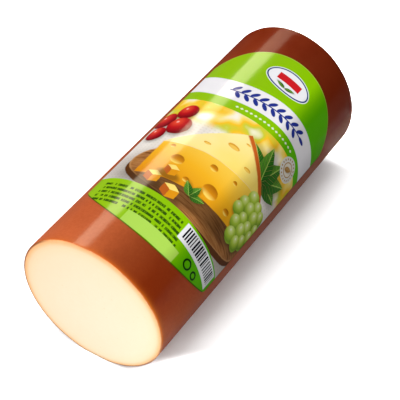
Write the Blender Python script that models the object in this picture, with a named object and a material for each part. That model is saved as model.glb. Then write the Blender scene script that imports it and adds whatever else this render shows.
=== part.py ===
"""A log of smoked cheese, lying on its side, with a printed label on its upper side.

The log is one solid. It was filled into a round casing, so its side is a true
cylinder, and it has settled onto a narrow flat where it lies. One end is cut clean
and shows the pale cheese. The other end is whole, with a rounded shoulder and a low
dome. The label is a thin sheet bent round the log, with straight sides, bowed ends and
rounded corners.

Frame, in metres: X runs along the log from the cut end to the whole one, Z is up, and
the origin is at the bottom centre of the model's box. An angle round the log starts
at the top and grows towards -Y, the side that the label leans to.
"""

import math

import bmesh
import bpy
from mathutils import Vector

# The log
LOG_RADIUS = 0.0495
LOG_LENGTH = 0.2439  # to where the whole end's shoulder turns square, at the axis
FLAT_DEPTH = 0.0012  # how far the cheese has settled where it lies
CUT_EDGE_RADIUS = 0.0008
SHOULDER_RADIUS = 0.0094
DOME_SLOPE = math.radians(5)  # of the whole end, where it leaves the shoulder

# The ends aren't quite square: metres along the log for each metre up, or sideways to -Y
CUT_LEAN_UP, CUT_LEAN_SIDE = -0.009, 0.023
WHOLE_LEAN_UP, WHOLE_LEAN_SIDE = 0.015, -0.047

# The label
LABEL_WIDTH = 0.1162  # round the log
LABEL_LENGTH = 0.1862  # along the log, from bow to bow
LABEL_FROM_CUT = 0.0269  # from the cut end to the near bow
LABEL_LEAN = math.radians(24.8)  # from the top of the log to the label's middle
NEAR_BOW_RADIUS = 0.1040
FAR_BOW_RADIUS = 0.0790
NEAR_CORNER_RADIUS = 0.0070
FAR_CORNER_RADIUS = 0.0090
LABEL_GAP = 0.0003
LABEL_THICKNESS = 0.0003

# How finely round shapes are cut into flat faces
LOG_STEPS = 96
SIDE_STATIONS = 6
EDGE_STEPS = 3
SHOULDER_STEPS = 6
DOME_STEPS = 5
LABEL_STEPS = 64
LABEL_STATIONS = 4

AXIS_HEIGHT = LOG_RADIUS - FLAT_DEPTH


def clear_scene():
    for obj in list(bpy.data.objects):
        bpy.data.objects.remove(obj, do_unlink=True)


def material(name, color, roughness, coat=0.0):
    made = bpy.data.materials.new(name)
    made.use_nodes = True
    shader = made.node_tree.nodes["Principled BSDF"]
    shader.inputs["Base Color"].default_value = (*color, 1)
    shader.inputs["Roughness"].default_value = roughness
    shader.inputs["Metallic"].default_value = 0.0
    shader.inputs["Coat Weight"].default_value = coat
    return made


def add_object(name, mesh, finish):
    obj = bpy.data.objects.new(name, mesh)
    bpy.context.scene.collection.objects.link(obj)
    obj.data.materials.append(finish)
    return obj


def round_log(x, radius, angle):
    """The point at this place along the log, this far from its axis, at this angle from the top."""
    return Vector((x, -radius * math.sin(angle), AXIS_HEIGHT + radius * math.cos(angle)))


def arc(centre_x, centre_r, radius, start, end, steps):
    """Points of an arc in the log's profile, from one angle to another; 0 is along +X."""
    turns = [start + (end - start) * i / steps for i in range(steps + 1)]
    return [(centre_x + radius * math.cos(t), centre_r + radius * math.sin(t)) for t in turns]


def log_profile():
    """(x, radius) points down the log, from the middle of one end to the middle of the other."""
    cut_x = -LOG_LENGTH / 2
    edge = arc(cut_x + CUT_EDGE_RADIUS, LOG_RADIUS - CUT_EDGE_RADIUS, CUT_EDGE_RADIUS,
               math.pi, math.pi / 2, EDGE_STEPS)
    shoulder = arc(LOG_LENGTH / 2 - SHOULDER_RADIUS, LOG_RADIUS - SHOULDER_RADIUS, SHOULDER_RADIUS,
                   math.pi / 2, DOME_SLOPE, SHOULDER_STEPS)
    run = shoulder[0][0] - edge[-1][0]
    side = [(edge[-1][0] + run * i / SIDE_STATIONS, LOG_RADIUS) for i in range(1, SIDE_STATIONS)]
    rim_x, rim = shoulder[-1]
    dome_radius = rim / math.sin(DOME_SLOPE)
    dome = arc(rim_x - dome_radius * math.cos(DOME_SLOPE), 0, dome_radius, DOME_SLOPE, 0, DOME_STEPS)
    return [(cut_x, 0.0), *edge, *side, *shoulder, *dome[1:]]


def lean(point):
    """Moves a point of the turned log along X, so that its ends lean a little."""
    up, side = point.z - AXIS_HEIGHT, -point.y
    along = point.x / LOG_LENGTH + 0.5
    cut_lean = CUT_LEAN_UP * up + CUT_LEAN_SIDE * side
    whole_lean = WHOLE_LEAN_UP * up + WHOLE_LEAN_SIDE * side
    return point + Vector((cut_lean * (1 - along) + whole_lean * along, 0, 0))


def turned_log():
    """The log before it settles: its profile spun round the axis, with its ends leaned."""
    bm = bmesh.new()
    line = [bm.verts.new(round_log(x, radius, 0)) for x, radius in log_profile()]
    edges = [bm.edges.new(pair) for pair in zip(line, line[1:])]
    bmesh.ops.spin(bm, geom=line + edges, axis=(1, 0, 0), cent=(0, 0, AXIS_HEIGHT),
                   angle=math.tau, steps=LOG_STEPS)
    bmesh.ops.remove_doubles(bm, verts=bm.verts, dist=1e-6)
    for vert in bm.verts:
        vert.co = lean(vert.co)
    bmesh.ops.recalc_face_normals(bm, faces=bm.faces)
    mesh = bpy.data.meshes.new("cheese")
    bm.to_mesh(mesh)
    bm.free()
    mesh.shade_smooth()
    mesh.set_sharp_from_angle(angle=math.radians(40))
    return mesh


def add_cheese():
    """The turned log, cut flat underneath where it has settled."""
    finish = material("smoked_rind", (0.36, 0.085, 0.030), 0.35, coat=0.3)
    cheese = add_object("cheese", turned_log(), finish)
    bpy.ops.mesh.primitive_cube_add(size=1, location=(0, 0, -LOG_RADIUS / 2))
    cutter = bpy.context.object
    cutter.name = "floor_cutter"
    cutter.scale = (LOG_LENGTH * 1.5, LOG_RADIUS * 3, LOG_RADIUS)
    cutter.hide_render = True
    cutter.display_type = "WIRE"
    settle = cheese.modifiers.new("settle", "BOOLEAN")
    settle.operation = "DIFFERENCE"
    settle.object = cutter
    return cheese


def bowed_end(across, bow, corner):
    """How far short of its bow's top the label ends, at this distance from its middle line.

    The end is an arc of radius bow, rounded into the straight side by an arc of radius
    corner, which touches both.
    """
    half = LABEL_WIDTH / 2
    across = abs(across)
    corner_u = half - corner
    corner_v = bow - math.sqrt((bow - corner) ** 2 - corner_u**2)
    touch = bow * corner_u / (bow - corner)
    if across <= touch:
        return bow - math.sqrt(bow**2 - across**2)
    return corner_v - math.sqrt(max(corner**2 - (across - corner_u) ** 2, 0.0))


def label_sheet():
    """The label's outer face as a grid: strips along the log, closer together at its sides."""
    near_x = -LOG_LENGTH / 2 + LABEL_FROM_CUT
    radius = LOG_RADIUS + LABEL_GAP + LABEL_THICKNESS
    bm = bmesh.new()
    strips = []
    for i in range(LABEL_STEPS + 1):
        across = -LABEL_WIDTH / 2 * math.cos(math.pi * i / LABEL_STEPS)
        start = near_x + bowed_end(across, NEAR_BOW_RADIUS, NEAR_CORNER_RADIUS)
        end = near_x + LABEL_LENGTH - bowed_end(across, FAR_BOW_RADIUS, FAR_CORNER_RADIUS)
        angle = LABEL_LEAN + across / radius
        stations = [start + (end - start) * k / LABEL_STATIONS for k in range(LABEL_STATIONS + 1)]
        strips.append([bm.verts.new(round_log(x, radius, angle)) for x in stations])
    for strip, after in zip(strips, strips[1:]):
        for k in range(LABEL_STATIONS):
            bm.faces.new((strip[k], strip[k + 1], after[k + 1], after[k]))
    bmesh.ops.recalc_face_normals(bm, faces=bm.faces)
    if bm.faces[len(bm.faces) // 2].normal.z < 0:
        bmesh.ops.reverse_faces(bm, faces=bm.faces)
    mesh = bpy.data.meshes.new("label")
    bm.to_mesh(mesh)
    bm.free()
    mesh.shade_smooth()
    return mesh


def add_label():
    finish = material("label_paper", (0.30, 0.57, 0.02), 0.30, coat=0.4)
    label = add_object("label", label_sheet(), finish)
    paper = label.modifiers.new("paper", "SOLIDIFY")
    paper.thickness = LABEL_THICKNESS
    paper.offset = -1
    return label


def centre_on_origin(objects):
    """Moves everything along and across, so that the origin is at the bottom centre of the box."""
    bpy.context.view_layer.update()
    graph = bpy.context.evaluated_depsgraph_get()
    corners = [Vector(c) for obj in objects for c in obj.evaluated_get(graph).bound_box]
    shift = Vector([-(min(c[i] for c in corners) + max(c[i] for c in corners)) / 2 for i in (0, 1)] + [0])
    for obj in bpy.data.objects:
        obj.location += shift


clear_scene()
centre_on_origin([add_cheese(), add_label()])
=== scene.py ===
"""Looks for a log of smoked cheese that lies on its side, with a printed label.

Lengths are in metres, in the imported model's frame: X runs along the log from the cut
end to the whole one and Z is up. An angle round the log starts at the top and grows
towards -Y. The label's print is drawn in millimetres: x is across the label from its
middle line, and y is along the log from the cut end.
"""

import math
import random

import bmesh
import bpy
from mathutils import Matrix, Vector


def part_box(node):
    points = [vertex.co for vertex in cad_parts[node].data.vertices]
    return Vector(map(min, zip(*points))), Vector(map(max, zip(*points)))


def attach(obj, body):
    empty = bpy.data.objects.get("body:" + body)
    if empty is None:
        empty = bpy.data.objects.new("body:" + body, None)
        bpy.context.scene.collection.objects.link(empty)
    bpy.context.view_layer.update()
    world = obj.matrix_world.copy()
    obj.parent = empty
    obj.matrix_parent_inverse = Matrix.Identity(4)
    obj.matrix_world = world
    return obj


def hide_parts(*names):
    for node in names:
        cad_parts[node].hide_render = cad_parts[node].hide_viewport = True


# The log, as the model has it
LOG_RADIUS = 0.0495
LOG_LENGTH = 0.2439
FLAT_DEPTH = 0.0012
CUT_EDGE_RADIUS = 0.0008
SHOULDER_RADIUS = 0.0094
DOME_SLOPE = math.radians(5)
CUT_LEAN_UP, CUT_LEAN_SIDE = -0.009, 0.023
WHOLE_LEAN_UP, WHOLE_LEAN_SIDE = 0.015, -0.047

# The label, as the model has it, but for its thickness
LABEL_WIDTH = 0.1162
LABEL_LENGTH = 0.1862
LABEL_FROM_CUT = 0.0269
LABEL_LEAN = math.radians(24.8)
NEAR_BOW_RADIUS = 0.1040
FAR_BOW_RADIUS = 0.0790
NEAR_CORNER_RADIUS = 0.0070
FAR_CORNER_RADIUS = 0.0090
LABEL_RADIUS = 0.0501  # of the model's own label, for the label's width as an angle
FILM_LIFT = 0.00010  # from the rind to the film's inner face
FILM_THICKNESS = 0.00022

AXIS_HEIGHT = LOG_RADIUS - FLAT_DEPTH
MM = 1000  # in a metre

# How finely the two meshes are divided
LOG_STEPS = 256  # round the log
FACE_RINGS = 26
EDGE_RINGS = 6
SIDE_RINGS = 110
SHOULDER_RINGS = 16
DOME_RINGS = 44
LABEL_STRIPS = 144  # side by side, round the log
LABEL_STATIONS = 64  # along each strip

# The dent in the whole end, where the casing was gathered
DENT_DEPTH = 0.0013
DENT_SPREAD = 0.0055
CREASE_DEPTH = 0.0008
CREASE_SPREAD = 0.0090
CREASES = 13

# The cut face's browned edge varies in these two directions, and its painted shade along the second:
# angles in radians, as round the log
FACE_FRONT = 0.7
FACE_LOW = 2.2

# The cheese's colours, linear
RIND_LIGHT = (0.352, 0.0765, 0.0243, 1)  # by the cut end
RIND_DARK = (0.117, 0.0135, 0.0033, 1)  # by the whole end
RIND_PAINTED_BOUNCE = (0.385, 0.142, 0.082, 1)  # painted reflection of the floor, low on the -Y side, towards the whole end
RIND_PAINTED_DENT_SHADE = (0.050, 0.0060, 0.0018, 1)  # painted shade in the middle of the whole end, where it is creased
GLOW_TOP = (0.40, 0.088, 0.011, 1)  # painted glow, as of light through the rind just behind the cut face: over the top,
GLOW_SIDE = (0.54, 0.113, 0.0104, 1)  # down the -Y side,
GLOW_OUT = (0.98, 0.270, 0.030, 1)  # and where that side is farthest out
RIND_PAINTED_SHADING = (  # painted shade half-way down the -Y side, and painted reflection of the floor below it, on the rind near the cut end, by the angle round the log in degrees
    (-20, (1.00, 1.00, 1.00, 1)),
    (5, (0.88, 0.87, 0.80, 1)),
    (25, (0.58, 0.47, 0.34, 1)),
    (45, (0.47, 0.25, 0.11, 1)),
    (60, (0.54, 0.28, 0.13, 1)),
    (92, (1.32, 1.14, 0.88, 1)),
    (120, (1.22, 0.98, 0.76, 1)),
    (165, (1.00, 1.00, 1.00, 1)),
)
DARKENING_SPAN_MM = (6, 240)  # from the cut end: the rind darkens, and loses gloss, all along this
GLOW_DEPTH_MM = 1.35  # how far light from the cut face glows through the rind behind it
PASTE_DEPTH = 0.87  # scales all the cut face's colours, which are given as on a screen

# How glossy things are
RIND_GLOSS = 0.124
RIND_GLOSS_LOST = 0.078  # by the whole end
LABEL_GLOSS = 0.15

# The print's colours are given as they look in full studio light. They are scaled to the ink's own by
# PRINT_DEPTH, and by a gain for each angle round the log, in degrees, which is painted light and shade:
# lighter near 40 and darker near 57.
PRINT_DEPTH = 0.565
PRINT_PAINTED_SHADING = (
    (-20, 1.00), (5, 1.02), (25, 1.20), (40, 1.40), (45, 1.22),
    (50, 1.00), (57, 0.87), (65, 0.98), (75, 1.15),
)

# The print's layout, in millimetres
BADGE_CENTRE = (0, 193)
SEAL_CENTRE = (40.7, 148.5)
SPRIG_PITCH = 6.4
DOTS_FROM = -16.0
DOT_PITCH = 3.3
DOTS = 15
ROWS_FROM = 36.9  # the rows of small marks
ROW_PITCH = 3.75
BAR_PITCH = 1.95
RIM_WIDTH = 0.5

# The camera, fitted to the log's outline in the photograph; its place is from the cut end's middle
CAMERA_PLACE = (-0.35328, -0.30462, 0.55022)
CAMERA_RIGHT = (0.54378, -0.83922, 0.00150)
CAMERA_BACK = (-0.5939, -0.3836, 0.7072)
CAMERA_LENS = 109.11
SENSOR_WIDTH = 36

# The studio
FLOOR_REACH = 4.0
FLOOR_DROP = 0.0002  # so that the floor and the log's flat don't share a plane
FLOOR_SHADE = (0.97, 0.97, 0.97, 1)
WORLD_STRENGTH = 0.311
SKY_PLACE = (0.0, 0.35, 0.62)
SKY_ANGLE = math.radians(140)
SKY_POWER = 2.60
KEY_PLACE = (-0.45, 0.10, 1.40)
KEY_TARGET = (0.0, 0.0, 0.03)
KEY_SIZE = (1.30, 0.80)
KEY_POWER = 16.1
STRIP_PLACE = (0.60, 0.535, 0.655)
STRIP_TARGET = (0.0, 0.0, 0.09)
STRIP_SIZE = (0.32, 1.00)
STRIP_ROLL = (1.0, 0.10, -0.093)
STRIP_POWER = 30.0
STRIP_COLOUR = (1.0, 0.84, 0.62)
FRONT_PLACE = (-1.40, -0.10, 0.40)
FRONT_TARGET = (-0.12, 0.0, 0.05)
FRONT_SIZE = (0.80, 0.60)
FRONT_POWER = 9.9
FILL_PLACE = (-0.20, -0.10, 0.04)
FILL_TARGET = (-0.115, -0.055, 0.0)
FILL_SIZE = (0.08, 0.06)
FILL_POWER = 0.025
# The two spots each light a round patch of floor, which cuts the log's shadow off at an end
SPOT_HEIGHT = 0.12
SPOT_POWER = 3.8
SPOT_SIZE = 0.002  # of the source: the smaller, the crisper the patch's edge
NEAR_SPOT = (-0.198, -0.148, 0.1485)  # x, y, and the radius of its patch
FAR_SPOT = (0.2375, -0.030, 0.130)
NEAR_SPOT_BLEND = 0.05  # how soft the patch's edge is
FAR_SPOT_BLEND = 0.15


def colour(red, green, blue):
    """A colour given as on a screen, 0 to 255, in the linear values that shaders take."""
    parts = [c / 255 for c in (red, green, blue)]
    return (*(c / 12.92 if c <= 0.04045 else ((c + 0.055) / 1.055) ** 2.4 for c in parts), 1.0)


# ---------------------------------------------------------------- shader graphs


class Field:
    """A number that varies over a surface: a socket of a shader graph, with arithmetic."""

    def __init__(self, graph, socket):
        self.graph = graph
        self.socket = socket

    def __add__(self, other):
        return self.graph.math("ADD", self, other)

    def __sub__(self, other):
        return self.graph.math("SUBTRACT", self, other)

    def __rsub__(self, other):
        return self.graph.math("SUBTRACT", other, self)

    def __mul__(self, other):
        return self.graph.math("MULTIPLY", self, other)

    def __truediv__(self, other):
        return self.graph.math("DIVIDE", self, other)

    def __mod__(self, other):
        return self.graph.math("FLOORED_MODULO", self, other)

    def __abs__(self):
        return self.graph.math("ABSOLUTE", self)

    __radd__ = __add__


class Graph:
    """A shader node tree, built up by calls that each add one node."""

    def __init__(self, tree):
        self.tree = tree

    def node(self, kind, **settings):
        made = self.tree.nodes.new("ShaderNode" + kind)
        for name, value in settings.items():
            setattr(made, name, value)
        return made

    def feed(self, socket, value):
        """Links a field or a socket to this input, or sets the input to a plain value."""
        if isinstance(value, Field):
            value = value.socket
        if isinstance(value, bpy.types.NodeSocket):
            self.tree.links.new(value, socket)
        else:
            socket.default_value = value

    def math(self, operation, *values, clamp=False):
        made = self.node("Math", operation=operation, use_clamp=clamp)
        for socket, value in zip(made.inputs, values):
            self.feed(socket, value)
        return Field(self, made.outputs[0])

    def stretch(self, vector, factors):
        made = self.node("VectorMath", operation="MULTIPLY")
        self.feed(made.inputs[0], vector)
        self.feed(made.inputs[1], factors)
        return Field(self, made.outputs[0])

    def split(self, vector):
        made = self.node("SeparateXYZ")
        self.feed(made.inputs[0], vector)
        return [Field(self, made.outputs[i]) for i in range(3)]

    def join(self, x, y):
        made = self.node("CombineXYZ")
        self.feed(made.inputs[0], x)
        self.feed(made.inputs[1], y)
        return Field(self, made.outputs[0])

    def place(self):
        return Field(self, self.node("TexCoord").outputs["Object"])

    def noise(self, vector, scale, detail=3.0, roughness=0.5):
        """Cloudy noise of 0 to 1, mostly near a half."""
        made = self.node("TexNoise")
        self.feed(made.inputs["Vector"], vector)
        made.inputs["Scale"].default_value = scale
        made.inputs["Detail"].default_value = detail
        made.inputs["Roughness"].default_value = roughness
        return Field(self, made.outputs[0])

    def cells(self, vector, scale):
        """The distance to the nearest of many points strewn by chance."""
        made = self.node("TexVoronoi", feature="F1")
        self.feed(made.inputs["Vector"], vector)
        made.inputs["Scale"].default_value = scale
        made.inputs["Randomness"].default_value = 1.0
        return Field(self, made.outputs["Distance"])

    def step(self, value, low, high, kind="LINEAR"):
        """0 at low, 1 at high, and level beyond them; low may be the larger, to turn it round."""
        made = self.node("MapRange", interpolation_type=kind, clamp=kind == "LINEAR")
        self.feed(made.inputs["Value"], value)
        ends = (low, high, 0.0, 1.0) if low < high else (high, low, 1.0, 0.0)
        for name, end in zip(("From Min", "From Max", "To Min", "To Max"), ends):
            made.inputs[name].default_value = end
        return Field(self, made.outputs[0])

    def edge(self, value, low, high):
        """A soft step. It needs no clamp, so hundreds of them fit in one shader."""
        return self.step(value, low, high, kind="SMOOTHSTEP")

    def ramp(self, value, stops):
        made = self.node("ValToRGB")
        self.feed(made.inputs[0], value)
        elements = made.color_ramp.elements
        while len(elements) < len(stops):
            elements.new(0.5)
        for element, (position, shade) in zip(elements, stops):
            element.position = position
            element.color = shade
        return Field(self, made.outputs[0])

    def table(self, value, start, end, rows):
        """A colour between those of rows of (value, colour), which all lie from start to end."""
        run = end - start
        return self.ramp((value - start) / run, [((at - start) / run, shade) for at, shade in rows])

    def mix(self, amount, under, over, blend="MIX"):
        """Lays one colour over another, or with blend MULTIPLY multiplies the two."""
        made = self.node("Mix", data_type="RGBA", blend_type=blend)
        self.feed(made.inputs[0], amount)
        self.feed(made.inputs[6], under)
        self.feed(made.inputs[7], over)
        return Field(self, made.outputs[2])

    def bump(self, height, distance):
        made = self.node("Bump")
        self.feed(made.inputs["Height"], height)
        made.inputs["Distance"].default_value = distance
        made.inputs["Strength"].default_value = 1.0
        return Field(self, made.outputs[0])

    def finish(self, **values):
        """Feeds the shader: base_color=... is the input named Base Color."""
        shader = self.tree.nodes["Principled BSDF"]
        for name, value in values.items():
            self.feed(shader.inputs[name.replace("_", " ").title().replace("Ior", "IOR")], value)


def new_material(name):
    material = bpy.data.materials.new(name)
    material.use_nodes = True
    return material, Graph(material.node_tree)


# ---------------------------------------------------------------- shapes


def round_log(x, radius, angle):
    """The point at this place along the log, this far from its axis, at this angle from the top."""
    return Vector((x, -radius * math.sin(angle), AXIS_HEIGHT + radius * math.cos(angle)))


def arc(centre_x, centre_r, radius, start, end, steps):
    """Points of an arc in the log's profile, from one angle to another; 0 is along +X."""
    turns = [start + (end - start) * i / steps for i in range(steps + 1)]
    return [(centre_x + radius * math.cos(t), centre_r + radius * math.sin(t)) for t in turns]


def log_profile():
    """(x, radius) points down the log, from the middle of one end to the middle of the other."""
    cut_x = -LOG_LENGTH / 2
    edge_r = LOG_RADIUS - CUT_EDGE_RADIUS
    face = [(cut_x, edge_r * i / FACE_RINGS) for i in range(FACE_RINGS)]
    edge = arc(cut_x + CUT_EDGE_RADIUS, edge_r, CUT_EDGE_RADIUS, math.pi, math.pi / 2, EDGE_RINGS)
    shoulder = arc(LOG_LENGTH / 2 - SHOULDER_RADIUS, LOG_RADIUS - SHOULDER_RADIUS, SHOULDER_RADIUS,
                   math.pi / 2, DOME_SLOPE, SHOULDER_RINGS)
    run = shoulder[0][0] - edge[-1][0]
    side = [(edge[-1][0] + run * i / SIDE_RINGS, LOG_RADIUS) for i in range(1, SIDE_RINGS)]
    rim_x, rim = shoulder[-1]
    dome_radius = rim / math.sin(DOME_SLOPE)
    dome_x = rim_x - dome_radius * math.cos(DOME_SLOPE)
    dome = arc(dome_x, 0, dome_radius, DOME_SLOPE, 0, DOME_RINGS)
    return [*face, *edge, *side, *shoulder, *dome[1:]]


def lean(point):
    """Moves a point of the turned log along X, so that its ends lean a little."""
    up, side = point.z - AXIS_HEIGHT, -point.y
    along = point.x / LOG_LENGTH + 0.5
    cut_lean = CUT_LEAN_UP * up + CUT_LEAN_SIDE * side
    whole_lean = WHOLE_LEAN_UP * up + WHOLE_LEAN_SIDE * side
    return point + Vector((cut_lean * (1 - along) + whole_lean * along, 0, 0))


def mesh_object(name, bm, material):
    mesh = bpy.data.meshes.new(name)
    bm.to_mesh(mesh)
    bm.free()
    mesh.shade_smooth()
    obj = bpy.data.objects.new(name, mesh)
    bpy.context.scene.collection.objects.link(obj)
    obj.data.materials.append(material)
    return obj


def dent(x, radius, angle):
    """How far the whole end is pressed in here.

    It is a hollow with creases that run out from it, unevenly spaced and unevenly deep.
    """
    if x < 0 or radius > 4 * CREASE_SPREAD:
        return 0.0
    hollow = DENT_DEPTH * math.exp(-(radius / DENT_SPREAD) ** 2)
    wander = CREASES * angle + 1.3 * math.sin(2 * angle + 0.6) + 0.9 * math.sin(5 * angle)
    crease = (0.5 + 0.5 * math.cos(wander)) ** 2 * (0.65 + 0.35 * math.sin(3 * angle + 1.1))
    fade = min(radius / 0.003, 1.0) * math.exp(-(radius / CREASE_SPREAD) ** 2)
    return hollow + CREASE_DEPTH * crease * fade


def make_log(offset, material):
    """The log as one fine closed mesh, settled flat underneath."""
    bm = bmesh.new()
    rings = []
    for x, radius in log_profile():
        count = LOG_STEPS if radius > 1e-9 else 1
        ring = []
        for i in range(count):
            angle = math.tau * i / LOG_STEPS
            point = lean(round_log(x - dent(x, radius, angle), radius, angle)) + offset
            point.z = max(point.z, 0.0)
            ring.append(bm.verts.new(point))
        rings.append(ring)
    for ring, after in zip(rings, rings[1:]):
        for i in range(LOG_STEPS):
            j = (i + 1) % LOG_STEPS
            if len(ring) == 1:
                bm.faces.new((ring[0], after[j], after[i]))
            elif len(after) == 1:
                bm.faces.new((ring[i], ring[j], after[0]))
            else:
                bm.faces.new((ring[i], ring[j], after[j], after[i]))
    bmesh.ops.recalc_face_normals(bm, faces=bm.faces)
    return mesh_object("smoked_cheese", bm, material)


def bowed_end(across, bow, corner):
    """How far short of its bow's top the label ends, at this distance from its middle line."""
    half = LABEL_WIDTH / 2
    across = abs(across)
    corner_u = half - corner
    corner_v = bow - math.sqrt((bow - corner) ** 2 - corner_u**2)
    touch = bow * corner_u / (bow - corner)
    if across <= touch:
        return bow - math.sqrt(bow**2 - across**2)
    return corner_v - math.sqrt(max(corner**2 - (across - corner_u) ** 2, 0.0))


def make_label(offset, material):
    """The label as one thin closed sheet on the rind, its two faces joined along the edge."""
    near_x = -LOG_LENGTH / 2 + LABEL_FROM_CUT
    bm = bmesh.new()
    sheets = []
    for radius in (LOG_RADIUS + FILM_LIFT, LOG_RADIUS + FILM_LIFT + FILM_THICKNESS):
        sheet = []
        for i in range(LABEL_STRIPS + 1):
            across = -LABEL_WIDTH / 2 * math.cos(math.pi * i / LABEL_STRIPS)
            start = near_x + bowed_end(across, NEAR_BOW_RADIUS, NEAR_CORNER_RADIUS)
            end = near_x + LABEL_LENGTH - bowed_end(across, FAR_BOW_RADIUS, FAR_CORNER_RADIUS)
            angle = LABEL_LEAN + across / LABEL_RADIUS
            run = (end - start) / LABEL_STATIONS
            line = [start + run * k for k in range(LABEL_STATIONS + 1)]
            sheet.append([bm.verts.new(round_log(x, radius, angle) + offset) for x in line])
        sheets.append(sheet)
        for a, b in zip(sheet, sheet[1:]):
            for k in range(LABEL_STATIONS):
                bm.faces.new((a[k], a[k + 1], b[k + 1], b[k]))
    rims = []
    for sheet in sheets:
        rim = [strip[0] for strip in sheet]
        rim += sheet[-1][1:]
        rim += [strip[-1] for strip in sheet[-2::-1]]
        rim += sheet[0][-2:0:-1]
        rims.append(rim)
    for i in range(len(rims[0])):
        j = (i + 1) % len(rims[0])
        bm.faces.new((rims[0][i], rims[0][j], rims[1][j], rims[1][i]))
    bmesh.ops.recalc_face_normals(bm, faces=bm.faces)
    label = mesh_object("label_print", bm, material)
    label.data.set_sharp_from_angle(angle=math.radians(50))
    return label


# ---------------------------------------------------------------- finishes


def round_angle(g, place, axis_y):
    """This place's angle round the log and distance from the axis, and how far up and to -Y it is."""
    x, y, z = g.split(place)
    up, side = z - AXIS_HEIGHT, axis_y - y
    return g.math("ARCTAN2", side, up), g.math("SQRT", up * up + side * side), up, side


def dull_side(g, degrees):
    """A share for the gloss: less on the +Y side, from below the top to half-way down."""
    return 1.0 - g.step(degrees, -14, -32) * g.step(degrees, -95, -65) * 0.75


def rind_colour(g, place, from_cut, angle, radius, side):
    """Smoked rind: darker towards the whole end, with soft blotches, painted shade half-way down the -Y
    side, a painted reflection of the floor low on that side, and painted shade in the middle of the
    whole end.

    Just behind the cut face it has a painted orange glow, as of light through the rind.
    """
    degrees = g.math("DEGREES", angle)
    blotches = g.noise(place, 55, detail=4) - 0.5
    # The rind darkens towards the whole end
    darkening = g.math("POWER", g.step(from_cut, *DARKENING_SPAN_MM), 0.8)
    darkening = g.math("ADD", darkening, blotches * 0.22, clamp=True)
    rind = g.mix(darkening, RIND_LIGHT, RIND_DARK)
    # Painted shade half-way down the -Y side, and painted reflection of the floor below it, strongest
    # near the cut end
    painted_shading = g.table(degrees + blotches * 14.0, -180, 180, RIND_PAINTED_SHADING)
    painted_shading_share = (1.0 - darkening * 0.6) * g.step(radius, 0.010, 0.042)
    rind = g.mix(painted_shading_share, rind, painted_shading, blend="MULTIPLY")
    # Painted reflection of the floor, low on the -Y side towards the whole end
    painted_bounce = g.step(degrees, 82, 98) * g.step(degrees, 150, 115) * g.step(radius, 0.036, 0.048)
    rind = g.mix(painted_bounce * darkening * 0.75, rind, RIND_PAINTED_BOUNCE)
    speckle = g.step(g.noise(place, 620, detail=3, roughness=0.6), 0.35, 0.65)
    rind = g.mix(speckle * 0.16, rind, RIND_DARK)
    # Painted shade in the middle of the whole end, where it is creased
    painted_dent_shade = g.step(radius, 0.014, 0.002) * g.step(from_cut, 200, 210)
    rind = g.mix(painted_dent_shade * 0.45, rind, RIND_PAINTED_DENT_SHADE)
    # Painted glow, as of light through the rind just behind the cut face
    glow = g.mix(g.step(side, -0.008, 0.016), GLOW_TOP, GLOW_SIDE)
    glow = g.mix(g.step(side, 0.034, LOG_RADIUS), glow, GLOW_OUT)
    return g.mix(g.math("EXPONENT", from_cut * (-1 / GLOW_DEPTH_MM)), rind, glow)


def paste_colour(g, place, depth, up, side):
    """The cut face: pale cheese that browns through orange towards the rind.

    Depth is how far in from the rind a place is, in millimetres.
    """
    front = up * math.cos(FACE_FRONT) + side * math.sin(FACE_FRONT)
    low = up * math.cos(FACE_LOW) + side * math.sin(FACE_LOW)
    true_depth = depth
    reach = g.step(low, 0.01, 0.045) * 0.3 + g.step(front, 0.0, -0.035) * 0.3 + 1.0
    depth = depth * reach - g.step(front, 0.022, -0.010) * 0.5
    depth = depth + (g.noise(place, 90, detail=2) - 0.5) * 0.9
    paste = g.table(depth, 0, 12, [
        (0.00, colour(150, 66, 20)),
        (0.30, colour(226, 146, 84)),
        (0.84, colour(239, 178, 121)),
        (2.04, colour(246, 194, 138)),
        (4.50, colour(245, 219, 181)),
        (6.96, colour(245, 226, 191)),
        (12.0, colour(245, 229, 198)),
    ])
    paste = g.mix(g.step(depth, 10, 34), paste, colour(247, 232, 204))
    # Painted shade: the cut face is a little darker and warmer on its upper +Y side
    paste = g.mix(g.step(low, 0.04, -0.04), paste, (1.0, 0.935, 0.90, 1), blend="MULTIPLY")
    grain = g.step(g.noise(place, 900, detail=4, roughness=0.65), 0.3, 0.7)
    paste = g.mix(grain * 0.10, paste, colour(240, 214, 172))
    pores = g.edge(g.cells(place, 150), 0.11, 0.05) * g.step(g.noise(place, 70), 0.50, 0.56)
    paste = g.mix(pores * 0.22, paste, colour(226, 186, 132))
    curd = g.step(g.noise(place, 230, detail=2, roughness=0.6), 0.35, 0.65)
    paste = g.mix(curd * 0.10, paste, colour(238, 216, 178))
    thin_edge = g.step(true_depth, 1.5, 0.7) * g.step(front, 0.016, 0.002)
    paste = g.mix(thin_edge * 0.85, paste, colour(122, 66, 36))
    return g.mix(1.0, paste, (*(PASTE_DEPTH,) * 3, 1), blend="MULTIPLY")


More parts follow.
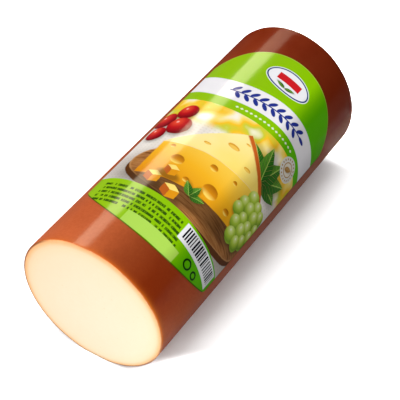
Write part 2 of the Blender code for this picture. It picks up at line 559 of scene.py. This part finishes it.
def log_material(cut_x, axis_y):
    """Rind and cut face in one. The rind is duller in a belt along the -Y side, near the cut end."""
    material, g = new_material("smoked_cheese")
    place = g.place()
    angle, radius, up, side = round_angle(g, place, axis_y)
    x = g.split(place)[0]
    from_cut = (x - cut_x - (up * CUT_LEAN_UP + side * CUT_LEAN_SIDE)) * MM
    rind = rind_colour(g, place, from_cut, angle, radius, side)
    paste = paste_colour(g, place, (LOG_RADIUS - radius) * MM, up, side)
    on_face = g.step(from_cut, 0.62, 0.30)
    relief = g.noise(place, 420, detail=5, roughness=0.6)
    degrees = g.math("DEGREES", angle)
    belt = g.step(degrees, 50, 72) * g.step(degrees, 104, 92) * g.step(from_cut, 170, 60)
    gloss = RIND_GLOSS - g.step(from_cut, *DARKENING_SPAN_MM) * RIND_GLOSS_LOST
    g.finish(
        base_color=g.mix(on_face, rind, paste),
        roughness=0.42 + relief * 0.16,
        specular_ior_level=0.0,
        coat_weight=gloss * dull_side(g, degrees) * (1.0 - belt * 0.4),
        coat_roughness=0.16,
        normal=g.bump(relief, distance=0.00006),
    )
    return material


# ---------------------------------------------------------------- the label's print


class Print:
    """A flat print, built up by laying one shape over another.

    The label's own print is drawn in millimetres. A stamp is a small print with a frame of
    its own, kept in a node group, that is laid down at a place, with a size and a turn.
    Grain is a field of noise that a shape may use.
    """

    def __init__(self, graph, x, y, ground, grain=0.5):
        self.graph = graph
        self.x = x
        self.y = y
        self.colour = ground
        self.grain = grain

    def lay(self, mask, shade, weight=1.0):
        if weight < 1.0:
            mask = mask * weight
        self.colour = self.graph.mix(mask, self.colour, shade)

    def line(self, along_x, along_y, start):
        """A number that grows by this much for each unit of x, and of y."""
        g = self.graph
        return g.math("MULTIPLY_ADD", self.x, along_x, g.math("MULTIPLY_ADD", self.y, along_y, start))

    def away(self, centre, size=(1.0, 1.0), turn=0.0):
        """The distance from the centre, in sizes."""
        g = self.graph
        u, v = [self.line(*line) for line in frame_lines(centre, size, turn)]
        return g.math("SQRT", g.math("MULTIPLY_ADD", u, u, v * v))

    def oval(self, centre, size, shade, turn=0.0, soft=0.04, weight=1.0):
        away = self.away(centre, size, turn)
        self.lay(self.graph.edge(away, 1 + soft, 1 - soft), shade, weight)
        return away

    def shadow(self, centre, size, turn=0.0, weight=0.4):
        """A soft brown shadow under a pictured thing."""
        self.oval(centre, size, colour(60, 40, 20), turn, soft=0.35, weight=weight)

    def spread(self, centre, half_a, half_b):
        """How far along two slanted directions a place is, 1 being that far from the centre."""
        (x, y), (ax, ay), (bx, by) = centre, half_a, half_b
        area = ax * by - ay * bx
        return (self.line(by / area, -bx / area, (bx * y - by * x) / area),
                self.line(-ay / area, ax / area, (ay * x - ax * y) / area))

    def slab(self, centre, half_a, half_b, shade):
        """A flat face with two pairs of parallel sides; shade may be worked out from its spread."""
        g = self.graph
        a, b = self.spread(centre, half_a, half_b)
        reach = g.math("MAXIMUM", abs(a), abs(b))
        self.lay(g.edge(reach, 1.01, 0.98), shade(a, b) if callable(shade) else shade)

    def stamp(self, group, centre=(0, 0), size=(1, 1), turn=0.0, grain=0.5):
        g = self.graph
        made = g.node("Group", node_tree=group)
        along, across = frame_lines(centre, size, turn)
        fed = (self.x, self.y, grain, *along, *across, self.colour)
        for socket, value in zip(made.inputs, fed):
            g.feed(socket, value)
        self.colour = Field(g, made.outputs[0])


def frame_lines(centre, size, turn):
    """For the two directions of a turned frame: how they grow with x and y, and their start."""
    cos, sin = math.cos(math.radians(turn)), math.sin(math.radians(turn))
    (x, y), (a, b) = centre, size
    along = (cos / a, sin / a, -(x * cos + y * sin) / a)
    across = (-sin / b, cos / b, (x * sin - y * cos) / b)
    return along, across


STAMP_INPUTS = (
    "X", "Y", "Grain", "Along X", "Along Y", "Along Start", "Across X", "Across Y", "Across Start",
)


def make_stamp(name, paint):
    """A node group in which paint(print) draws in the stamp's own frame."""
    tree = bpy.data.node_groups.new(name, "ShaderNodeTree")
    for number in STAMP_INPUTS:
        tree.interface.new_socket(number, in_out="INPUT", socket_type="NodeSocketFloat")
    tree.interface.new_socket("Under", in_out="INPUT", socket_type="NodeSocketColor")
    tree.interface.new_socket("Over", in_out="OUTPUT", socket_type="NodeSocketColor")
    g = Graph(tree)
    fed = tree.nodes.new("NodeGroupInput").outputs[:len(STAMP_INPUTS) + 1]
    x, y, grain, *lines, under = [Field(g, socket) for socket in fed]
    outside = Print(g, x, y, under)
    p = Print(g, outside.line(*lines[:3]), outside.line(*lines[3:]), under, grain)
    paint(p)
    g.feed(tree.nodes.new("NodeGroupOutput").inputs["Over"], p.colour)
    return tree


def ball_stamp(name, shades):
    """A round fruit of radius 1, lit from the upper left."""
    def paint(p):
        g = p.graph
        p.shadow((0.16, -0.22), (1, 1), weight=0.55)
        lit = p.away((-0.36, 0.42))
        p.lay(g.edge(p.away((0, 0)), 1.03, 0.94), g.ramp(lit / 1.6, shades))
    return make_stamp(name, paint)


def leaf_stamp(name, shades, veins):
    """A pointed leaf from 0 to 1 along and -1 to 1 across, its side veins running forward."""
    def paint(p):
        g = p.graph
        p.shadow((0.5, -0.15), (0.52, 0.95), weight=0.35)
        away = abs(p.y)
        outline = g.math("SINE", g.math("POWER", g.math("MINIMUM", p.x, 1.1), 0.72) * math.pi)
        inside = g.edge(away - outline, -0.01, -0.09)
        rib = g.math("PINGPONG", p.x * veins - away * 1.5, 0.5)
        fold = g.edge(p.y, -0.15, 0.15) * 0.28
        p.lay(inside, g.ramp(rib * 0.8 + fold + p.x * 0.22, shades))
        vein = g.math("MAXIMUM", g.edge(rib, 0.09, 0.02) * 0.45, g.edge(away, 0.09, 0.02) * 0.8)
        p.lay(inside * vein, shades[-1][1])
    return make_stamp(name, paint)


def cube_stamp():
    """A cube of cheese with a smoked side, seen from a corner."""
    def paint(p):
        right, left, up = Vector((0.86, 0.34)) / 2, Vector((-0.80, 0.40)) / 2, Vector((0, 0.5))
        p.shadow((0.1, -0.95), (1.5, 0.7), weight=0.6)
        p.slab(right - up, right, up, colour(226, 150, 22))
        p.slab(left - up, left, up, colour(190, 96, 30))
        p.slab(left + right, left, right, colour(254, 224, 118))
    return make_stamp("cheese_cube", paint)


def hole_stamp():
    """A round hole in a cut side of cheese, dark under its upper edge."""
    def paint(p):
        g = p.graph
        hole = g.ramp(p.y * 0.5 + 0.5, [
            (0.1, colour(252, 216, 100)), (0.45, colour(214, 138, 20)), (1.0, colour(160, 92, 8))])
        p.oval((0, 0), (1, 1), hole, soft=0.08)
    return make_stamp("cheese_hole", paint)


LEAF_SHADES = [
    (0.05, colour(16, 62, 12)), (0.45, colour(44, 108, 26)), (0.80, colour(96, 152, 44)),
    (1.00, colour(172, 204, 96)),
]
GRAPE_SHADES = [
    (0.00, colour(252, 253, 236)), (0.12, colour(222, 236, 140)), (0.42, colour(176, 204, 66)),
    (0.78, colour(112, 152, 32)), (1.00, colour(150, 186, 60)),
]
TOMATO_SHADES = [
    (0.00, colour(255, 214, 200)), (0.10, colour(232, 74, 50)), (0.42, colour(190, 24, 30)),
    (0.85, colour(112, 8, 20)), (1.00, colour(150, 24, 24)),
]
SEAL_SHADES = [(0.1, colour(150, 104, 44)), (1.0, colour(196, 158, 100))]


def paint_backdrop(p):
    """A pale table, and behind it a garden out of focus."""
    g = p.graph
    p.colour = g.ramp(p.grain, [(0.3, colour(226, 217, 207)), (0.7, colour(244, 238, 231))])
    weave = g.math("SINE", p.x * 2.1 + p.grain * 9) + g.math("SINE", p.y * 2.6)
    p.lay(g.edge(weave, 0.2, 2.0), colour(198, 186, 172), 0.35)
    glow = g.ramp(p.grain, [
        (0.30, colour(250, 246, 236)), (0.42, colour(252, 226, 120)), (0.52, colour(250, 196, 40)),
        (0.62, colour(206, 208, 60)), (0.74, colour(246, 242, 214))])
    p.lay(g.edge(p.y - p.x * 0.06, 122, 131), glow)


def paint_board(p):
    """A round wooden board, with the grain across the picture."""
    g = p.graph
    p.shadow((2, 70), (60, 24), weight=0.5)
    p.oval((6, 75), (53, 21), colour(92, 52, 24), soft=0.012)
    p.oval((6, 79.5), (53, 21), colour(196, 142, 88), soft=0.012)
    wood = g.ramp(p.grain, [
        (0.30, colour(104, 60, 28)), (0.45, colour(150, 96, 50)),
        (0.55, colour(178, 122, 70)), (0.70, colour(132, 82, 42))])
    p.oval((6, 79.2), (51.8, 20.4), wood, soft=0.02)


def paint_wedge(p):
    """A big wedge of yellow cheese with a smoked rind, its cut side to the front."""
    g = p.graph
    tip, back, front = Vector((-37, 100)), Vector((6, 139)), Vector((43, 113))
    depth = Vector((0, -32))
    side = front - tip
    p.shadow((6, 72), (46, 10), 8, weight=0.6)
    cut = [(0.0, colour(222, 140, 14)), (0.5, colour(244, 180, 34)), (1.0, colour(252, 212, 84))]
    p.slab(tip + (side + depth) / 2, side / 2, -depth / 2,
           lambda a, b: g.ramp(b * 0.35 + a * 0.20 + 0.5, cut))
    p.slab(front + depth / 2 + Vector((-0.9, 0)), (1.0, 0.15), -depth / 2, colour(186, 84, 26))
    hole = hole_stamp()
    for x, y, r in ((-19, 89, 4.6), (10, 84, 5.6), (30, 98, 4.0), (2, 99, 2.8),
                    (-6, 79, 2.3), (26, 84, 2.6), (-28, 98, 1.9), (18, 103, 1.8)):
        p.stamp(hole, (x, y), (r, r * 0.86))
    a, b = p.spread(tip, back - tip, side)
    reach = a + b
    inside = g.edge(g.math("MINIMUM", g.math("MINIMUM", a, b), 1.0 - reach), -0.004, 0.006)
    p.lay(inside, g.ramp(b * 0.6 + p.grain * 0.4, [
        (0.1, colour(255, 240, 176)), (0.5, colour(254, 226, 120)), (0.9, colour(248, 204, 78))]))
    p.lay(inside * g.edge(reach, 0.93, 0.955), colour(200, 96, 34))
    for x, y, r in ((2, 122, 4.2), (18, 117, 2.8), (-12, 112, 2.4), (8, 131, 1.7)):
        p.oval((x, y), (r, r * 0.45), colour(222, 158, 46), 8, soft=0.12)
        p.oval((x + 0.3, y - r * 0.12), (r * 0.8, r * 0.3), colour(244, 196, 84), 8, soft=0.2)


def paint_picture(p, clouds, wood):
    """Cheese on a wooden board with fruit and leaves, on a pale table."""
    rng = random.Random(11)
    leaf = leaf_stamp("leaf", LEAF_SHADES, 7)
    tomato = ball_stamp("tomato", TOMATO_SHADES)
    grape = ball_stamp("grape", GRAPE_SHADES)
    cube = cube_stamp()
    p.stamp(make_stamp("backdrop", paint_backdrop), grain=clouds)
    for x, y, radius in ((-40, 132, 7.6), (-52, 122, 8.6), (-37, 117, 8.8), (-49, 107, 7.4)):
        p.stamp(tomato, (x, y), (radius, radius))
    for turn, length, width in ((172, 25, 11), (12, 24, 12), (142, 26, 12),
                                (44, 27, 13), (76, 26, 13), (108, 27, 12)):
        p.stamp(leaf, (30, 121), (length, width / 2), turn)
    p.stamp(make_stamp("board", paint_board), grain=wood)
    p.stamp(make_stamp("wedge", paint_wedge), grain=clouds)
    for row, count in enumerate((3, 4, 4, 3, 2)):
        for i in range(count):
            x = 44 + (i - (count - 1) / 2) * 8.2 + rng.uniform(-0.9, 0.9)
            y = 109 - row * 7.2 + rng.uniform(-0.9, 0.9)
            radius = 5.6 + rng.uniform(-0.4, 0.5)
            p.stamp(grape, (x, y), (radius, radius))
    for x, y, size in ((-24, 70, 6.0), (-9, 66, 6.6), (-17, 80, 5.2)):
        p.stamp(cube, (x, y), (size, size))
    for turn in (20, 75, 130):
        p.stamp(leaf, (2, 71), (11, 3), turn)


def wave(p, height, rise, length, start):
    """A gentle wave across the label, as heights in millimetres."""
    return p.graph.math("SINE", (p.x - start) * (math.tau / length)) * rise + height


def band_edges(p):
    """The heights of the white band's two edges, and of the thin green band's lower one."""
    return wave(p, 175.0, 3.6, 114, -0.3), wave(p, 157.4, 3.85, 116, 1.0), wave(p, 149.1, 3.8, 133, 4.5)


def paint_fields(p):
    """The green of the label's two ends, deepened towards +x by painted shade, and the wavy white band
    between them.
    """
    g = p.graph
    # Painted shade: the green deepens towards +x, the label's -Y side
    green = g.mix(g.edge(p.x, -45, 20), colour(147, 193, 19), colour(137, 196, 2))
    green = g.mix(g.edge(p.x, 12, 31), green, colour(90, 186, 2))
    white, middle, low = band_edges(p)
    p.lay(g.edge(p.y - low, -0.12, 0.12), green)
    p.lay(g.edge(p.y - middle, -0.12, 0.12), colour(240, 237, 240))
    p.lay(g.edge(p.y - white, -0.12, 0.12), green)
    p.lay(g.edge(p.y + p.x * 0.015, 58.9, 58.7), green)


def span(g, value, start, end, soft=0.1):
    """1 from start to end and 0 beyond them."""
    return g.edge(value, start - soft, start) * g.edge(value, end, end - soft)


def paint_sprig(p):
    """A leafy sprig in dark blue that follows the white band."""
    g = p.graph
    ink = colour(38, 52, 140)
    white, middle, _ = band_edges(p)
    height = p.y - (white + middle) / 2
    for side, start, leaves in ((1, -27.0, 9), (-1, -23.8, 8)):
        row = span(g, p.x, start, start + leaves * SPRIG_PITCH)
        cell = (p.x - start) % SPRIG_PITCH - SPRIG_PITCH / 2
        away = Print(g, cell, height, None).away((0.4, side * 2.9), (3.3, 1.45), side * 48)
        p.lay(row * g.edge(away, 1.08, 0.92), ink)
    p.lay(span(g, p.x, -27.0, 31.5, soft=0.5) * g.edge(abs(height), 0.55, 0.4), ink)
    p.lay(g.edge(Print(g, p.x, height, None).away((33.0, 0), (3.3, 1.4)), 1.08, 0.92), ink)


def paint_dots(p):
    """Small white lozenges along the thin green band."""
    g = p.graph
    _, middle, low = band_edges(p)
    row = span(g, p.x, DOTS_FROM, DOTS_FROM + DOTS * DOT_PITCH)
    cell = (p.x - DOTS_FROM) % DOT_PITCH - DOT_PITCH / 2
    reach = abs(cell) * 0.8 + abs(p.y - (middle + low) / 2)
    p.lay(row * g.edge(reach, 1.1, 0.8), colour(236, 242, 214))


def paint_badge(p):
    """An oval badge with a plain red bar and two leaves."""
    for size, shade in (((17.4, 10.2), colour(244, 244, 246)), ((16.8, 9.6), colour(24, 62, 124)),
                        ((15.7, 8.5), colour(238, 238, 242))):
        p.oval(BADGE_CENTRE, size, shade, soft=0.015)
    x, y = BADGE_CENTRE
    p.slab((x, y + 1.0), (9.0, 0), (0, 3.0), colour(206, 30, 38))
    leaf = leaf_stamp("badge_leaf", LEAF_SHADES, 1)
    for turn in (18, 162):
        p.stamp(leaf, (x, y - 6.4), (8, 1.4), turn)


def paint_seal(p):
    """A round pale seal with a tan ring of pips and a leaf."""
    g = p.graph
    x, y = SEAL_CENTRE
    away = p.oval(SEAL_CENTRE, (8.8, 8.8), colour(222, 220, 212), soft=0.02)
    turn = g.math("ARCTAN2", p.y - y, p.x - x)
    pips = g.edge(g.math("SINE", turn * 18), -0.2, 0.3)
    ring = g.edge(abs(away - 0.80), 0.09, 0.06)
    p.lay(ring * pips, colour(176, 140, 84))
    p.oval(SEAL_CENTRE, (5.2, 5.2), colour(168, 124, 60), soft=0.03)
    p.oval(SEAL_CENTRE, (4.5, 4.5), colour(226, 218, 200), soft=0.03)
    p.stamp(leaf_stamp("seal_leaf", SEAL_SHADES, 3), (x - 3.1, y - 2.3), (8, 2.1), 38)


def scatter(g, value):
    """A number of 0 to 1 by chance, the same all along each whole step of the value."""
    made = g.node("TexWhiteNoise", noise_dimensions="1D")
    g.feed(made.inputs["W"], g.math("FLOOR", value))
    return Field(g, made.outputs["Value"])


def paint_small_print(p):
    """Rows of marks too small to read, a bar pattern, two plain rings and a pale panel."""
    g = p.graph
    above = p.y - ROWS_FROM
    row = g.math("FLOOR", above / ROW_PITCH)
    across_row = abs(above % ROW_PITCH - 1.9)
    letter = scatter(g, p.x / 0.5 + row * 91)
    height = g.edge(across_row + letter * 0.4, 1.35, 1.1)
    gaps = g.edge(scatter(g, p.x / 1.15 + row * 37), 0.15, 0.17)
    marks = (g.edge(letter, 0.0, 0.30) * 0.5 + 0.5) * gaps * height
    ends = g.edge(p.x, -48.5, -48) * g.edge(p.x + row * 1.5, 17, 16)
    rows = g.edge(above, 0.0, 0.3) * g.edge(p.y, 56.2, 56.0)
    p.lay(marks * (ends * rows), colour(22, 60, 12), 0.9)
    p.slab((34, 50.7), (21, 0), (0, 6.3), colour(240, 240, 242))
    inside = g.edge(abs(p.x - 34), 19.2, 19.0) * g.edge(abs(p.y - 51.4), 4.6, 4.4)
    place = p.x / BAR_PITCH
    bar = g.math("FRACT", place) - scatter(g, place) * 0.45
    p.lay(g.edge(bar, 0.35, 0.28) * inside, colour(16, 18, 28))
    for x, r in ((29.9, 3.6), (38.6, 2.8)):
        p.lay(g.edge(abs(p.away((x, 38.7)) - r + 0.6), 0.75, 0.5), colour(14, 52, 10))
    p.slab((1, 33), (20, 0), (0, 5.2), colour(176, 219, 88))


def paint_rim_shade_and_highlight(p):
    """A thin line along the label's edge: dark painted shade, but along the far bow a pale painted
    highlight.
    """
    g = p.graph
    edge_shade, edge_highlight = (colour(56, 62, 10), 0.8), (colour(176, 182, 84), 0.5)
    near, far = NEAR_BOW_RADIUS * MM, FAR_BOW_RADIUS * MM
    start, end = LABEL_FROM_CUT * MM, (LABEL_FROM_CUT + LABEL_LENGTH) * MM
    for bow, middle, side, ink in ((near, start + near, -1, edge_shade), (far, end - far, 1, edge_highlight)):
        ahead = g.edge((p.y - middle) * side, 0, 10)
        p.lay(ahead * g.edge(p.away((0, middle)), bow - RIM_WIDTH - 0.3, bow - RIM_WIDTH), *ink)
    half = LABEL_WIDTH * MM / 2
    p.lay(g.edge(abs(p.x), half - RIM_WIDTH - 0.15, half - RIM_WIDTH + 0.15), *edge_shade)


def label_print(g, x, y):
    """The print's colour at this place on the label.

    The picture's outlines waver by a few tenths of a millimetre, and those of the plain
    print, which goes over it, by a few hundredths.
    """
    sheet = g.join(x, y)
    clouds = g.noise(sheet, 0.055, detail=1.5)
    wood = g.noise(g.stretch(sheet, (0.045, 0.62, 1.0)), 1.0, detail=5, roughness=0.62)
    tremble = g.noise(sheet, 0.45, detail=2)
    drawn = Print(g, x + (tremble - 0.5) * 0.8, y + (clouds + wood - 1.0) * 0.8, colour(225, 215, 205))
    paint_picture(drawn, clouds, wood)
    p = Print(g, x + tremble * 0.02, y + (clouds + wood) * 0.01, drawn.colour)
    for paint in (paint_fields, paint_sprig, paint_dots, paint_badge, paint_seal,
                  paint_small_print, paint_rim_shade_and_highlight):
        p.stamp(make_stamp(paint.__name__, paint))
    return p.colour


def label_material(cut_x, axis_y):
    """The print on fine glossy paper, which is duller towards both of its sides."""
    material, g = new_material("label_print")
    place = g.place()
    angle = round_angle(g, place, axis_y)[0]
    degrees = g.math("DEGREES", angle)
    x = g.split(place)[0]
    paint = label_print(g, (angle - LABEL_LEAN) * (LABEL_RADIUS * MM), (x - cut_x) * MM)
    # Painted light and shade: the print's gain by its angle round the log
    print_painted_shading = [(at, (*(PRINT_DEPTH * level,) * 3, 1)) for at, level in PRINT_PAINTED_SHADING]
    fibres = g.noise(place, 1400, detail=3, roughness=0.6)
    g.finish(
        base_color=g.mix(1.0, paint, g.table(degrees, -45, 95, print_painted_shading), blend="MULTIPLY"),
        roughness=0.46 + fibres * 0.10,
        specular_ior_level=0.0,
        coat_weight=(dull_side(g, degrees) - g.step(degrees, 38, 62) * 0.75) * LABEL_GLOSS,
        coat_roughness=0.15,
        normal=g.bump(fibres, distance=0.00002),
    )
    return material


# ---------------------------------------------------------------- studio


def placed(right, up, back, place):
    """The matrix of a light or a camera that stands here and looks away from back."""
    matrix = Matrix((right, up, back)).transposed().to_4x4()
    matrix.translation = place
    return matrix


def add_light(kind, name, place, target, power, roll=(0, 1, 0), **settings):
    """A light at a place, aimed at a target, with the top of its shape turned towards roll."""
    data = bpy.data.lights.new(name, kind)
    data.energy = power
    for setting, value in settings.items():
        setattr(data, setting, value)
    light = bpy.data.objects.new(name, data)
    bpy.context.scene.collection.objects.link(light)
    back = (Vector(place) - Vector(target)).normalized()
    side = Vector(roll).cross(back).normalized()
    light.matrix_world = placed(side, back.cross(side), back, Vector(place))
    return light


def make_floor():
    """A plain pale floor, which throws no diffuse light back onto the log."""
    bm = bmesh.new()
    corners = [(-1, -1), (1, -1), (1, 1), (-1, 1)]
    bm.faces.new([bm.verts.new((FLOOR_REACH * a, FLOOR_REACH * b, -FLOOR_DROP)) for a, b in corners])
    material, g = new_material("floor")
    g.finish(base_color=FLOOR_SHADE, roughness=1.0, specular_ior_level=0.0)
    floor = mesh_object("floor", bm, material)
    floor.visible_diffuse = False


def make_lights():
    """Even light from all round, a wide soft sky that leans to +Y, and smaller lights.

    The key is high over the cut end, the strip makes the gloss streak along the log, and
    the front light and the fill are for the cut face. The two spots end the log's shadow
    on the floor.
    """
    world = bpy.data.worlds.new("studio")
    bpy.context.scene.world = world
    world.use_nodes = True
    world.cycles_visibility.glossy = False
    back = world.node_tree.nodes["Background"]
    back.inputs["Color"].default_value = (1, 1, 1, 1)
    back.inputs["Strength"].default_value = WORLD_STRENGTH
    sky = add_light("SUN", "sky", SKY_PLACE, (0, 0, 0), SKY_POWER, angle=SKY_ANGLE)
    sky.visible_glossy = False
    add_light("AREA", "key", KEY_PLACE, KEY_TARGET, KEY_POWER,
              shape="RECTANGLE", size=KEY_SIZE[0], size_y=KEY_SIZE[1])
    strip = add_light("AREA", "strip", STRIP_PLACE, STRIP_TARGET, STRIP_POWER, roll=STRIP_ROLL,
                      shape="RECTANGLE", size=STRIP_SIZE[0], size_y=STRIP_SIZE[1])
    strip.data.color = STRIP_COLOUR
    strip.visible_diffuse = False
    front = add_light("AREA", "front", FRONT_PLACE, FRONT_TARGET, FRONT_POWER,
                      shape="RECTANGLE", size=FRONT_SIZE[0], size_y=FRONT_SIZE[1])
    front.visible_glossy = False
    fill = add_light("AREA", "fill", FILL_PLACE, FILL_TARGET, FILL_POWER,
                     shape="RECTANGLE", size=FILL_SIZE[0], size_y=FILL_SIZE[1])
    fill.visible_glossy = False
    fill.visible_camera = False
    for name, (x, y, reach), blend in (("near spot", NEAR_SPOT, NEAR_SPOT_BLEND),
                                       ("far spot", FAR_SPOT, FAR_SPOT_BLEND)):
        spot = add_light("SPOT", name, (x, y, SPOT_HEIGHT), (x, y, 0), SPOT_POWER,
                         spot_size=2 * math.atan(reach / SPOT_HEIGHT), spot_blend=blend,
                         shadow_soft_size=SPOT_SIZE)
        spot.visible_glossy = False


def make_camera(cut_middle):
    """The photograph's camera, placed from the middle of the cut end."""
    right = Vector(CAMERA_RIGHT).normalized()
    back = Vector(CAMERA_BACK)
    back = (back - right * back.dot(right)).normalized()
    data = bpy.data.cameras.new("camera")
    data.lens = CAMERA_LENS
    data.sensor_width = SENSOR_WIDTH
    camera = bpy.data.objects.new("camera", data)
    bpy.context.scene.collection.objects.link(camera)
    camera.matrix_world = placed(right, back.cross(right), back, cut_middle + Vector(CAMERA_PLACE))
    bpy.context.scene.camera = camera


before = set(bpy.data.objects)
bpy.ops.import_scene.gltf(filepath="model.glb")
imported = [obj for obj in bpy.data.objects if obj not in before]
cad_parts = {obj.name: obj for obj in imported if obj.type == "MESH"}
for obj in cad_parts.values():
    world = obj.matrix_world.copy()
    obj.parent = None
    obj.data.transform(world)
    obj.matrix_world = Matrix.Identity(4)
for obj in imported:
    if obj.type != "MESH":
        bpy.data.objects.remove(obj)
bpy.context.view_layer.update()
label_low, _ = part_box("label")
cheese_low, cheese_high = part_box("cheese")
axis_y = (cheese_low.y + cheese_high.y) / 2
cut_x = label_low.x - LABEL_FROM_CUT
offset = Vector((cut_x + LOG_LENGTH / 2, axis_y, 0))

bpy.context.scene.view_settings.view_transform = "Standard"
make_camera(Vector((cut_x, axis_y, AXIS_HEIGHT)))
log = make_log(offset, log_material(cut_x, axis_y))
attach(log, "root")
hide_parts("cheese")
label = make_label(offset, label_material(cut_x, axis_y))
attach(label, "root")
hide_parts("label")
make_floor()
make_lights()
